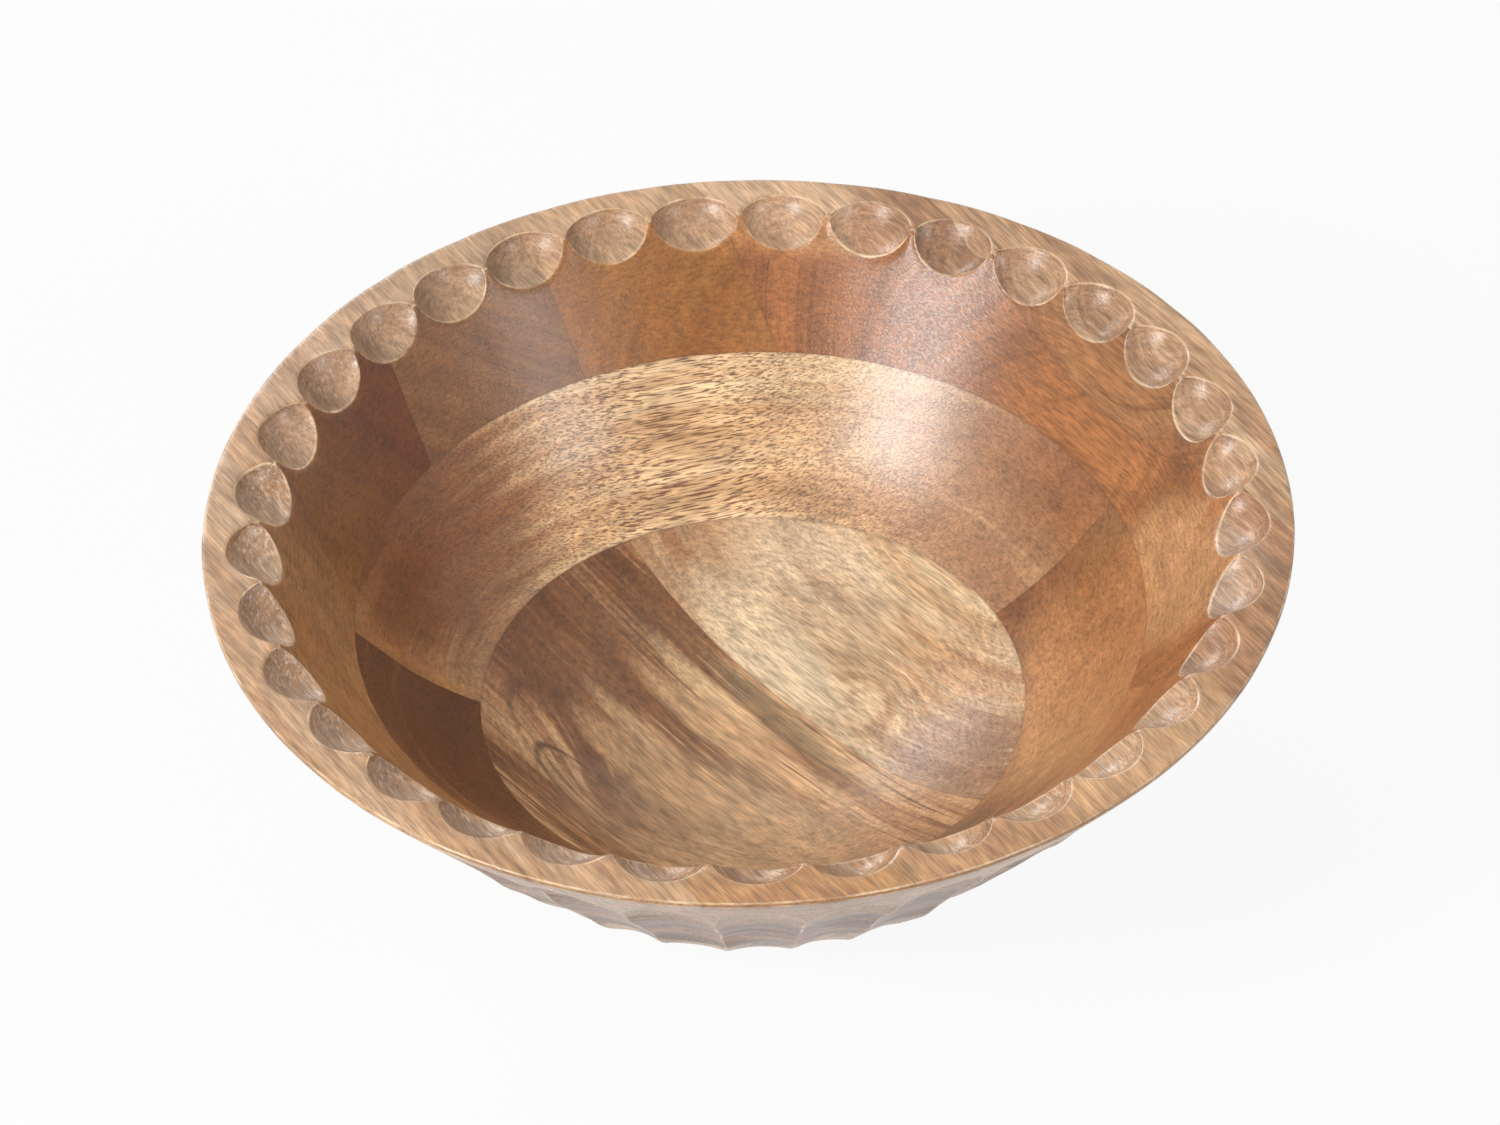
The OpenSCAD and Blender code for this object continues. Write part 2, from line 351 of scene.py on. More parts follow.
gouged = add(carve, "GeometryNodeInputNamedAttribute", {"Name": "gouged"}, data_type="FLOAT")
eased = add(carve, "GeometryNodeBlurAttribute",
            {"Value": gouged, "Iterations": EASE_STEPS}, data_type="FLOAT")
fineness = add(carve, "ShaderNodeMath", {0: 1.0, 1: given["Drift Size"]}, operation="DIVIDE")
wander = add(carve, "ShaderNodeTexNoise",
             {"Vector": place, "W": given["Seed"], "Scale": fineness, "Detail": 1.0}, noise_dimensions="4D")
centred = add(carve, "ShaderNodeVectorMath",
              {0: wander.outputs["Color"], 1: NOISE_MIDDLE}, operation="SUBTRACT")
amount = add(carve, "ShaderNodeMath", {0: eased, 1: given["Drift"]}, operation="MULTIPLY")
moved = add(carve, "ShaderNodeVectorMath", {0: centred, "Scale": amount}, operation="SCALE")
drifted = add(carve, "GeometryNodeSetPosition", {"Geometry": sanded, "Offset": moved})
smooth = add(carve, "GeometryNodeSetShadeSmooth", {"Geometry": drifted})
finished = add(carve, "GeometryNodeSetMaterial", {"Geometry": smooth, "Material": given["Wood"]})
add(carve, "NodeGroupOutput", {"Geometry": finished})
print("nodes in the tree:", len(carve.nodes))

# %% Run it and keep a plain mesh
# Raw wood, a plain grey stand-in that no one sees: each board gets its own wood later.
plain_wood = bpy.data.materials.new("raw_mango_wood")
modifier = wedge.modifiers.new("carve", "NODES")
modifier.node_group = carve
for label, value in (("Gouges", GOUGES), ("First Cut", -math.pi / 2), ("Sanding", 2), ("Sanded Edge", 0.7),
                     ("Drift", 4.0 * MM), ("Drift Size", 34 * MM), ("Seed", 7.0), ("Wood", plain_wood)):
    modifier[inputs[label].identifier] = value
carved_mesh = bpy.data.meshes.new_from_object(wedge.evaluated_get(bpy.context.evaluated_depsgraph_get()))
bpy.data.objects.remove(wedge)
print("carved round:", len(carved_mesh.vertices), "points,", len(carved_mesh.polygons), "faces")

# %% [markdown]
# ## Saw the bowl along its glue joints
# The carved bowl is one skin, but the real one is thirteen boards. Carving thirteen boards one by one would
# leave steps where a scallop or a flute crosses a joint. So each board is cut out of the one skin along the
# same joint planes as the solids, and every sawn face is closed, which makes each board a solid piece of its
# own. A board is given by its layer, the turn of its grain, the two joints beside it and its two ends.

# %% Where the joints are
RIM_GRAIN, MIDDLE_GRAIN, BASE_GRAIN = -58.0, 11.7, -49.0      # degrees
RIM_JOINT_SHARES = (-0.61, -0.28, 0.095, 0.447, 0.8)          # of the rim's radius
MIDDLE_JOINT, BASE_JOINT = 20.5, 22.5                         # distance from the axis
SPARE = 5.0                  # how far a saw cut runs past the bowl, above and below
EDGE = RIM_R + 6.0           # and past the rim

whole, far_end, near_end = (-EDGE, EDGE), (-EDGE, 0), (0, EDGE)
joint = [-EDGE, *[RIM_R * share for share in RIM_JOINT_SHARES], EDGE]
rim, middle, base = (MIDDLE_TOP, BOWL_H + SPARE), (BASE_TOP, MIDDLE_TOP), (-SPARE, BASE_TOP)
boards = {
    "rim_board_front_left": (rim, RIM_GRAIN, joint[0:2], whole),
    "rim_board_left": (rim, RIM_GRAIN, joint[1:3], far_end),
    "rim_board_front": (rim, RIM_GRAIN, joint[1:3], near_end),
    "rim_board_back_left": (rim, RIM_GRAIN, joint[2:4], far_end),
    "rim_board_front_right": (rim, RIM_GRAIN, joint[2:4], near_end),
    "rim_board_back": (rim, RIM_GRAIN, joint[3:5], far_end),
    "rim_board_right": (rim, RIM_GRAIN, joint[3:5], near_end),
    "rim_board_inner_right": (rim, RIM_GRAIN, joint[4:6], whole),
    "rim_board_outer_right": (rim, RIM_GRAIN, joint[5:7], whole),
    "middle_board_back": (middle, MIDDLE_GRAIN, (MIDDLE_JOINT, EDGE), whole),
    "middle_board_front": (middle, MIDDLE_GRAIN, (-EDGE, MIDDLE_JOINT), whole),
    "base_board_left": (base, BASE_GRAIN, (-EDGE, BASE_JOINT), whole),
    "base_board_right": (base, BASE_GRAIN, (BASE_JOINT, EDGE), whole),
}
print("boards:", len(boards))

# %% Close the skin at the axis
NEAR_LEVEL = 2.0             # the drift moves a ring less than this

skin = bmesh.new()
skin.from_mesh(carved_mesh)
skin.transform(Matrix.Scale(1 / MM, 4))     # sawing works on millimetres, which suit its fixed tolerances
open_edges = [edge for edge in skin.edges if edge.is_boundary]
for level in (0.0, FLOOR_T):
    middle_point = skin.verts.new((0, 0, level))
    for edge in open_edges:
        if abs(edge.verts[0].co.z - level) < NEAR_LEVEL:
            skin.faces.new((edge.verts[0], edge.verts[1], middle_point)).smooth = True
bmesh.ops.recalc_face_normals(skin, faces=skin.faces[:])
print("open edges after closing:", sum(edge.is_boundary for edge in skin.edges))

# %% Saw the three layers
SAW_TOLERANCE = 0.001        # points nearer to the cut than this are taken to lie on it


def saw(block, point_mm, normal):
    """Cuts off the side that the normal points to, and closes the sawn face."""
    parts = block.verts[:] + block.edges[:] + block.faces[:]
    cut = bmesh.ops.bisect_plane(block, geom=parts, dist=SAW_TOLERANCE, plane_co=point_mm, plane_no=normal,
                                 clear_outer=True)["geom_cut"]
    sawn_edges = [part for part in cut if isinstance(part, bmesh.types.BMEdge)]
    if sawn_edges:
        # Beauty swaps edges of the fill, which can span a scallop with a stray web, so it stays off.
        bmesh.ops.triangle_fill(block, edges=sawn_edges, use_beauty=False, normal=normal)
    for edge in sawn_edges:
        edge.smooth = False


layers = {}
for low, high in (rim, middle, base):
    layer = skin.copy()
    saw(layer, (0, 0, low), Vector((0, 0, -1)))
    saw(layer, (0, 0, high), Vector((0, 0, 1)))
    layers[low, high] = layer
print("faces in each layer:", [len(layer.faces) for layer in layers.values()])

# %% Saw the boards out of the layers
pieces = {}
for node, (heights, grain, joints, ends) in boards.items():
    block = layers[heights].copy()
    turn = math.radians(grain)
    for direction, (low, high) in ((Vector((math.cos(turn), math.sin(turn), 0)), ends),
                                   (Vector((-math.sin(turn), math.cos(turn), 0)), joints)):
        saw(block, direction * low, -direction)
        saw(block, direction * high, direction)
    bmesh.ops.recalc_face_normals(block, faces=block.faces[:])
    block.transform(Matrix.Scale(MM, 4))
    mesh = bpy.data.meshes.new("carved_" + node)
    block.to_mesh(mesh)
    loose = sum(not edge.is_manifold for edge in block.edges)
    block.free()
    pieces[node] = bpy.data.objects.new("carved_" + node, mesh)
    bpy.context.scene.collection.objects.link(pieces[node])
    print(node, len(mesh.polygons), "faces, open edges", loose)

# %% [markdown]
# ## The wood
# Mango wood is pale tan to chocolate brown, often both in one board. Its pores are long thin tubes along the
# grain: dashes on the faces and dots on the end grain, which also soaks up more oil and turns darker. An
# image of wood would only wrap the outside, so here each board is given a solid pattern that runs through
# it. The next cells build it up in layers, one for each thing that the eye reads as wood. Most of them take
# the colour so far and hand it on a little changed.

# %% Colours and scales
def linear(code):
    """An sRGB hex colour as the linear colour that shaders use."""
    parts = [int(code[k:k + 2], 16) / 255 for k in (1, 3, 5)]
    return (*[c / 12.92 if c <= 0.04045 else ((c + 0.055) / 1.055) ** 2.4 for c in parts], 1.0)


def shares(*sizes_mm):
    """The scale that makes one step of a pattern as large as these sizes."""
    return tuple(1 / (size * MM) for size in sizes_mm)


print("mid grey #808080 is", round(linear("#808080")[0], 3), "in linear light")

# %% [markdown]
# ### Which way the grain runs
# A plank is cut along the trunk, so every pattern has to follow the board and not the world. Turning the
# object would do that too, but a finished piece stays unturned at the origin. So the coordinates are turned
# instead: X runs along the grain. No trunk grows quite straight, and a slow noise bends them a little.

# %% The board's own coordinates
SWAY_MM = (170.0, 80.0, 80.0)     # how slowly the grain wanders
SWAY_WIDTH_MM = 16.0              # and how wide


def along_the_grain(tree, grain, seed):
    """Object coordinates, the same with X along the grain, and those again with a slow sway."""
    here = add(tree, "ShaderNodeTexCoord").outputs["Object"]
    straight = add(tree, "ShaderNodeMapping", {"Vector": here, "Rotation": (0, 0, -math.radians(grain))})
    slow = add(tree, "ShaderNodeMapping",
               {"Vector": straight, "Scale": shares(*SWAY_MM), "Location": (seed, 0, 0)})
    sway = add(tree, "ShaderNodeTexNoise", {"Vector": slow, "Scale": 1.0, "Detail": 1.0})
    sway = add(tree, "ShaderNodeVectorMath",
               {0: sway.outputs["Color"], 1: NOISE_MIDDLE}, operation="SUBTRACT")
    width = (0, SWAY_WIDTH_MM * MM, SWAY_WIDTH_MM * MM)
    sway = add(tree, "ShaderNodeVectorMath", {0: sway, 1: width}, operation="MULTIPLY")
    bent = add(tree, "ShaderNodeVectorMath", {0: straight, 1: sway}, operation="ADD")
    return here, straight, bent


print("the grain sways over about", SWAY_MM[0], "mm")

# %% [markdown]
# ### Growth layers, knots and streaks
# A tree grows in layers round its heart, and a knot pushes the layers aside. So one number is worked out
# first, the distance from the heart, and each knot adds to it. Stripes painted on straight lines would look
# like a print. Noise that is long along the grain and narrow across this number gives streaks that run on
# from face to face and bend round the knots, as they do in a real board.

# %% Distance from the heart
def oval_spot(tree, here, place_mm, size_mm, turn):
    """One in the middle of an oval in the bowl, falling to zero at its outline."""
    oval = add(tree, "ShaderNodeMapping",
               {"Vector": here, "Location": Vector(place_mm) * MM, "Scale": Vector(size_mm) * MM,
                "Rotation": (0, 0, math.radians(turn))}, vector_type="TEXTURE")
    return add(tree, "ShaderNodeTexGradient", {"Vector": oval}, gradient_type="SPHERICAL").outputs[1]


def growth_layers(tree, here, bent, look):
    """Distance from the heart of the tree, pushed out at each knot, and the rise of each knot."""
    heart_y, heart_z = look["heart"]
    layer = add(tree, "ShaderNodeVectorMath", {0: bent, 1: (0, heart_y * MM, heart_z * MM)},
                operation="SUBTRACT")
    layer = add(tree, "ShaderNodeVectorMath", {0: layer, 1: (0, 1, 1)}, operation="MULTIPLY")
    layer = add(tree, "ShaderNodeVectorMath", {0: layer}, operation="LENGTH")
    knots = []
    for place_mm, size_mm, turn, push_mm, outline in look.get("knots", ()):
        rise = oval_spot(tree, here, place_mm, size_mm, turn)
        bulge = add(tree, "ShaderNodeMapRange", {"Value": rise}, interpolation_type="SMOOTHSTEP")
        layer = add(tree, "ShaderNodeMath", {0: bulge, 1: push_mm * MM, 2: layer}, operation="MULTIPLY_ADD")
        knots.append((rise, outline))
    return layer, knots


print("a knot is an oval that pushes the growth layers")

# %% Streaks of colour
# On a Mix node of colours, input 0 is the share, and inputs 6 and 7 are the colour below and the one above.
STREAK_MM = (210.0, 13.0)         # length and width of a broad streak
BROAD, THIN = (1.0, 0.55), (4.5, 0.6)       # scale and roughness: thin lines are 4.5 times finer
STREAK_RANGE = (0.36, 0.64)       # noise from the pale wood to the deep
DARK_LINES, PALE_LINES = (0.54, 0.66), (0.46, 0.34)
LINE_SHARE = 0.45                 # how strongly thin lines show


def streaks(tree, bent, layer, look):
    """The colour of the streaks, with the broad and the thin noise that they are made of."""
    axes = add(tree, "ShaderNodeSeparateXYZ", {0: bent})
    length_mm, width_mm = STREAK_MM[0], look.get("streak_mm", STREAK_MM[1])
    run = add(tree, "ShaderNodeMath", {0: axes, 1: 1 / (length_mm * MM)}, operation="MULTIPLY")
    thick = add(tree, "ShaderNodeMath", {0: layer, 1: 1 / (width_mm * MM)}, operation="MULTIPLY")
    figure = add(tree, "ShaderNodeCombineXYZ", {0: run, 1: thick, 2: look["seed"]})
    broad, thin = (add(tree, "ShaderNodeTexNoise",
                       {"Vector": figure, "Scale": scale, "Detail": 3.0, "Roughness": roughness})
                   for scale, roughness in (BROAD, THIN))
    low, high = look.get("streaks", STREAK_RANGE)
    half_way = (low + high) / 2
    line_share = look.get("lines", LINE_SHARE)
    colour = linear(look["pale"])
    for noise, ends, most, tone in ((broad, (low, half_way), 1.0, "mid"),
                                    (broad, (half_way, high), 1.0, "deep"),
                                    (thin, DARK_LINES, line_share, "deep"),
                                    (thin, PALE_LINES, line_share, "pale")):
        share = add(tree, "ShaderNodeMapRange", {"Value": noise, FROM: ends, "To Max": most})
        colour = add(tree, "ShaderNodeMix", {0: share, 6: colour, 7: linear(look[tone])}, data_type="RGBA")
    return colour, broad, thin


print("streaks about", STREAK_MM[1], "mm wide, thin lines about", round(STREAK_MM[1] / THIN[0], 1), "mm")

# %% Knot lines, heartwood and sapwood
KNOT_BROWN = "#4f3220"
KNOT_LINE_RISE = 0.07             # the dark line lies just inside a knot's oval
KNOT_LINE_FADE = (0.01, 0.06)
RAGGED_FROM, RAGGED_TO = (0.7, 1.3), (0.35, 1.65)
FULL_PATCH = 0.5                  # a patch has its whole strength from half way in


def knot_lines(tree, colour, knots, broad):
    """A dark line where the layers close round each knot."""
    for rise, outline in knots:
        ring = add(tree, "ShaderNodeMath", {0: rise, 1: KNOT_LINE_RISE}, operation="SUBTRACT")
        ring = add(tree, "ShaderNodeMath", {0: ring}, operation="ABSOLUTE")
        ring = add(tree, "ShaderNodeMapRange", {"Value": ring, FROM: KNOT_LINE_FADE, TO: (outline, 0.0)})
        ring = add(tree, "ShaderNodeMath", {0: ring, 1: broad}, operation="MULTIPLY")
        colour = add(tree, "ShaderNodeMix", {0: ring, 6: colour, 7: linear(KNOT_BROWN)}, data_type="RGBA")
    return colour


def heart_and_sap(tree, here, colour, broad, thin, look):
    """Patches of darker heartwood and paler sapwood, with outlines that the streaks make ragged."""
    ragged = add(tree, "ShaderNodeMath", {0: broad, 1: thin}, operation="ADD")
    ragged = add(tree, "ShaderNodeMapRange", {"Value": ragged, FROM: RAGGED_FROM, TO: RAGGED_TO}, clamp=False)
    for place_mm, size_mm, turn, tone, strength in look.get("patches", ()):
        inside = oval_spot(tree, here, place_mm, size_mm, turn)
        inside = add(tree, "ShaderNodeMath", {0: inside, 1: ragged}, operation="MULTIPLY")
        inside = add(tree, "ShaderNodeMapRange",
                     {"Value": inside, "From Max": FULL_PATCH, "To Max": strength},
                     interpolation_type="SMOOTHSTEP")
        colour = add(tree, "ShaderNodeMix", {0: inside, 6: colour, 7: linear(tone)}, data_type="RGBA")
    return colour


print("streaks move a patch's outline by", RAGGED_TO[0], "to", RAGGED_TO[1])

# %% [markdown]
# ### End grain, gouge cuts and fine grain
# Where the hollow cuts across the tubes of the wood, the oil soaks in and the board turns darker. The
# surface's own normal tells how far it faces along the grain, so no mask has to be painted. The gouge's cuts
# are left unsanded: they look greyer, and torn strands stand out pale. That grey and those pale strands are
# partly the cut's own look and partly a painted sheen, the whitish shine that grazing light gives the cuts.
# Last come the smallest things, the pores, the pale tissue beside them and the fibres, which give the wood
# its bite from near by.

# %% Darker end grain
OIL_BROWN = "#a57c56"
END_FACING = (0.12, 0.75)         # from side grain to full end grain
DRY_SOAK, OILED_SOAK = 0.3, 0.9   # how much darker end grain turns outside and inside


def end_grain(tree, colour, grain, in_hollow, look):
    """The colour with darker end grain and the hollow's own tone, and how much each place is end grain."""
    turn = math.radians(grain)
    normal = add(tree, "ShaderNodeNewGeometry").outputs["Normal"]
    facing = add(tree, "ShaderNodeVectorMath", {0: normal, 1: (math.cos(turn), math.sin(turn), 0)},
                 operation="DOT_PRODUCT")
    facing = add(tree, "ShaderNodeMath", {0: facing}, operation="ABSOLUTE")
    end = add(tree, "ShaderNodeMapRange", {"Value": facing, FROM: END_FACING})
    oiled = add(tree, "ShaderNodeMapRange",
                {"Value": in_hollow, TO: (DRY_SOAK, look.get("soak", OILED_SOAK))})
    soak = add(tree, "ShaderNodeMath", {0: end, 1: oiled}, operation="MULTIPLY")
    for share, tone in ((soak, OIL_BROWN), (in_hollow, look.get("inside", "#ffffff"))):
        colour = add(tree, "ShaderNodeMix", {0: share, 6: colour, 7: linear(tone)}, data_type="RGBA",
                     blend_type="MULTIPLY")
    return colour, end


print("end grain starts", round(math.degrees(math.asin(END_FACING[0])), 1), "degrees off the side grain")

# %% Noise for the fine grain
# One step of each pattern in mm along, across and through the layers, then its detail and roughness.
FINE_GRAIN = {
    "pores": ((9.0, 0.52, 0.52), 2.0, 0.5),      # a pore is about half a step, a little coarser than real
    "tissue": ((10.0, 2.4, 0.9), 1.0, 0.5),      # pale tissue beside the pores, in short bands
    "fibres": ((11.0, 0.6, 0.6), 2.0, 0.5),      # drawn coarser than real fibres, which would not show
    "clouds": ((26.0, 9.0, 9.0), 4.0, 0.65),     # cloudy light and dark in the figure
    "strands": ((14.0, 1.1, 1.1), 2.0, 0.6),     # what the gouge has torn up, drawn coarser to show
}


def fine_grain(tree, bent):
    """A noise node for each of the small patterns of the wood."""
    made = {}
    for pattern, (sizes_mm, detail, roughness) in FINE_GRAIN.items():
        cells = add(tree, "ShaderNodeMapping", {"Vector": bent, "Scale": shares(*sizes_mm)})
        made[pattern] = add(tree, "ShaderNodeTexNoise",
                            {"Vector": cells, "Scale": 1.0, "Detail": detail, "Roughness": roughness})
    return made


print("fine patterns:", ", ".join(FINE_GRAIN))

# %% Raw gouge cuts, partly a painted sheen
# The grey and the pale strands are partly the raw cut's own look and partly a painted sheen.
RAW_GREY_AND_SHEEN, STRAND_AND_SHEEN_PALE = "#8c7a70", "#ecdccc"
GREY_AND_SHEEN_SHARE = 0.2
STRAND_NOISE = (0.5, 0.66)
FEW_STRANDS_AND_SHEEN = 0.1                 # how strongly torn strands show on most boards


def raw_cuts_and_painted_sheen(tree, colour, in_hollow, cut, strands, look):
    """Gouge cuts outside the hollow: a little greyer, with pale torn strands, both partly a painted sheen."""
    outside = add(tree, "ShaderNodeMapRange", {"Value": in_hollow, TO: (1.0, 0.0)})
    raw = add(tree, "ShaderNodeMath", {0: cut, 1: outside}, operation="MULTIPLY")
    grey_and_sheen = add(tree, "ShaderNodeMath", {0: raw, 1: GREY_AND_SHEEN_SHARE}, operation="MULTIPLY")
    torn_and_sheen = add(tree, "ShaderNodeMapRange",
               {"Value": strands, FROM: STRAND_NOISE, "To Max": look.get("torn_and_sheen", FEW_STRANDS_AND_SHEEN)})
    torn_and_sheen = add(tree, "ShaderNodeMath", {0: torn_and_sheen, 1: raw}, operation="MULTIPLY")
    for share, tone in ((grey_and_sheen, RAW_GREY_AND_SHEEN), (torn_and_sheen, STRAND_AND_SHEEN_PALE)):
        colour = add(tree, "ShaderNodeMix", {0: share, 6: colour, 7: linear(tone)}, data_type="RGBA")
    return colour


print("raw cuts are", GREY_AND_SHEEN_SHARE, "grey_and_sheen")

# %% Fibres and pores
PORE_BROWN = "#6b4529"
GRAINY, CLOUDY, CLOUD_NOISE = (0.7, 1.3), (0.8, 1.2), (0.3, 0.7)
PORE_NOISE = (0.5, 0.61)
PORE_SHARE, END_PORE_SHARE = 0.28, 0.12     # how dark pores are on the faces and on end grain
DOTS_FROM = 0.8                             # from this much end grain on, pores are dots


def fibres_and_pores(tree, colour, fine, end, look):
    """The colour with its fine grain, the pores, and how dark each of them is."""
    grainy = add(tree, "ShaderNodeMath", {0: fine["tissue"], 1: fine["fibres"]}, operation="ADD")
    grainy = add(tree, "ShaderNodeMapRange", {"Value": grainy, FROM: GRAINY, TO: GRAINY})
    cloudy = add(tree, "ShaderNodeMapRange", {"Value": fine["clouds"], FROM: CLOUD_NOISE, TO: CLOUDY})
    grainy = add(tree, "ShaderNodeMath", {0: grainy, 1: cloudy}, operation="MULTIPLY")
    colour = add(tree, "ShaderNodeVectorMath", {0: colour, "Scale": grainy}, operation="SCALE")
    pores = add(tree, "ShaderNodeMapRange", {"Value": fine["pores"], FROM: PORE_NOISE})
    depth = add(tree, "ShaderNodeMapRange",
                {"Value": end, "From Max": DOTS_FROM, TO: (look.get("pores", PORE_SHARE), END_PORE_SHARE)})
    dark = add(tree, "ShaderNodeMath", {0: pores, 1: depth}, operation="MULTIPLY")
    colour = add(tree, "ShaderNodeMix", {0: dark, 6: colour, 7: linear(PORE_BROWN)}, data_type="RGBA",
                 blend_type="MULTIPLY")
    return colour, pores, dark


print("fine grain lightens and darkens by", round(GRAINY[1] - 1, 1), "at most")

# %% [markdown]
# ### Edges, joints and oil
# Hands and cloths rub the carved edges pale, here and there more than elsewhere. The same pale edge also
# stands in for the shine that a rounded edge catches, so it is partly a painted highlight. Each board meets
# the next in a hair of dark glue. Both could be thin strips of mesh, but they have no thickness of their own,
# so they
# are part of the colour: the edges come from the distance kept at each point, and the glue from the joint
# planes. A satin oil goes over all of it.

# %% Rubbed edges and their painted highlight
# The pale edge is partly real wear and partly a painted highlight on the rounded edges.
RUBBED_AND_HIGHLIGHT_PALE = "#ecd0ac"
RUBBED_AND_HIGHLIGHT_MM = (0.05, 0.65)          # fully rubbed, and no longer
RUBBED_AND_HIGHLIGHT_SHARE = 1.8                # above one, because tissue and wear take some of it away
WEAR_MM = 15.0                    # how far apart the worn places along an edge are
WEAR_NOISE, LEAST_WEAR = (0.42, 0.62), 0.25


def rubbed_edges_and_painted_highlights(tree, colour, here, edge, tissue):
    """Carved edges rubbed pale and painted pale where a rounded edge would catch a highlight, more in some
    places than in others.
    """
    rubbed_and_highlit = add(tree, "ShaderNodeMapRange", {"Value": edge, FROM: RUBBED_AND_HIGHLIGHT_MM, TO: (RUBBED_AND_HIGHLIGHT_SHARE, 0.0)})
    worn = add(tree, "ShaderNodeTexNoise", {"Vector": here, "Scale": shares(WEAR_MM)[0], "Detail": 1.0})
    worn = add(tree, "ShaderNodeMapRange", {"Value": worn, FROM: WEAR_NOISE, "To Min": LEAST_WEAR})
    for less in (tissue, worn):
        rubbed_and_highlit = add(tree, "ShaderNodeMath", {0: rubbed_and_highlit, 1: less}, operation="MULTIPLY")
    return add(tree, "ShaderNodeMix", {0: rubbed_and_highlit, 6: colour, 7: linear(RUBBED_AND_HIGHLIGHT_PALE)}, data_type="RGBA")


print("edges are rubbed", RUBBED_AND_HIGHLIGHT_MM[1], "mm wide")

# %% Glue lines
GLUE_BROWN, GLUE_SHARE = "#4a2e1c", 0.25
GLUE_MM = (0.15, 0.5)             # the line's dark half-width, and where it has faded


def glue_lines(tree, colour, straight, joints, heights):
    """A dark hair along each joint of the board."""
    axes = add(tree, "ShaderNodeSeparateXYZ", {0: straight})
    nearest = None
    for axis, limits in (("Y", joints), ("Z", heights)):
        for limit in limits:
            gap = add(tree, "ShaderNodeMath", {0: axes.outputs[axis], 1: limit * MM}, operation="SUBTRACT")
            gap = add(tree, "ShaderNodeMath", {0: gap}, operation="ABSOLUTE")
            if nearest is not None:
                gap = add(tree, "ShaderNodeMath", {0: nearest, 1: gap}, operation="MINIMUM")
            nearest = gap
    glue = add(tree, "ShaderNodeMapRange",
               {"Value": nearest, FROM: [width * MM for width in GLUE_MM], TO: (GLUE_SHARE, 0.0)})
    return add(tree, "ShaderNodeMix", {0: glue, 6: colour, 7: linear(GLUE_BROWN)}, data_type="RGBA")


print("glue lines fade out", GLUE_MM[1], "mm from a joint")

# %% Satin oil
# Oiled wood is satin: soft broad highlights, duller in the open pores and on the raw cuts. The thin film of
# oil on top is the coat, a little duller on the lip than in the hollow, which is rubbed smoother.
TISSUE_NOISE, SATIN = (0.3, 0.7), (0.25, 0.33)
PORE_DULL, CUT_DULL = 0.2, 0.05
FIBRE_RELIEF, PORE_RELIEF = 1.4, -1.5
BUMP_STRENGTH, BUMP_MM = 0.35, 0.3
WOOD_SPECULAR, OIL_FILM = 0.32, 0.4
LIP_FILM_ROUGHNESS, HOLLOW_FILM_ROUGHNESS = 0.3, 0.28


def satin_oil(tree, colour, fine, pores, dark, cut, film, film_roughness):
    """The oiled surface over a colour: its gloss, its relief and its film of oil."""
    gloss = add(tree, "ShaderNodeMapRange", {"Value": fine["tissue"], FROM: TISSUE_NOISE, TO: SATIN})
    for dull, amount in ((pores, PORE_DULL), (cut, CUT_DULL)):
        gloss = add(tree, "ShaderNodeMath", {0: dull, 1: amount, 2: gloss}, operation="MULTIPLY_ADD")
    relief = fine["tissue"]
    for raised, amount in ((fine["fibres"], FIBRE_RELIEF), (dark, PORE_RELIEF)):
        relief = add(tree, "ShaderNodeMath", {0: raised, 1: amount, 2: relief}, operation="MULTIPLY_ADD")
    bump = add(tree, "ShaderNodeBump",
               {"Strength": BUMP_STRENGTH, "Distance": BUMP_MM * MM, "Height": relief})
    return add(tree, "ShaderNodeBsdfPrincipled",
               {"Base Color": colour, "Roughness": gloss, "Normal": bump, "Specular IOR Level": WOOD_SPECULAR,
                "Coat Weight": film, "Coat Roughness": film_roughness})


print("roughness from", SATIN[0], "to", round(SATIN[1] + PORE_DULL + CUT_DULL, 2))

# %% One board of oiled mango wood
def mango_board(name, board, look):
    """Oiled mango wood: satin, streaked along the grain, with open pores and darker end grain."""
    heights, grain, joints, _ = board
    wood = bpy.data.materials.new("oiled_mango_" + name)
    wood.use_nodes = True
    tree = wood.node_tree
    tree.nodes.clear()
    in_hollow, cut, edge = (add(tree, "ShaderNodeAttribute", attribute_name=kept).outputs["Fac"]
                            for kept in ("hollow", "gouged", "edge_mm"))
    here, straight, bent = along_the_grain(tree, grain, look["seed"])
    layer, knots = growth_layers(tree, here, bent, look)
    fine = fine_grain(tree, bent)

    colour, broad, thin = streaks(tree, bent, layer, look)
    colour = knot_lines(tree, colour, knots, broad)
    colour = heart_and_sap(tree, here, colour, broad, thin, look)
    colour, end = end_grain(tree, colour, grain, in_hollow, look)
    colour = raw_cuts_and_painted_sheen(tree, colour, in_hollow, cut, fine["strands"], look)
    colour, pores, dark = fibres_and_pores(tree, colour, fine, end, look)
    colour = rubbed_edges_and_painted_highlights(tree, colour, here, edge, fine["tissue"])
    colour = glue_lines(tree, colour, straight, joints, heights)

    film_roughness = LIP_FILM_ROUGHNESS if heights == rim else HOLLOW_FILM_ROUGHNESS
    oiled = satin_oil(tree, colour, fine, pores, dark, cut, look.get("film", OIL_FILM), film_roughness)
    add(tree, "ShaderNodeOutputMaterial", {"Surface": oiled})
    return wood


print("helper made: mango_board")
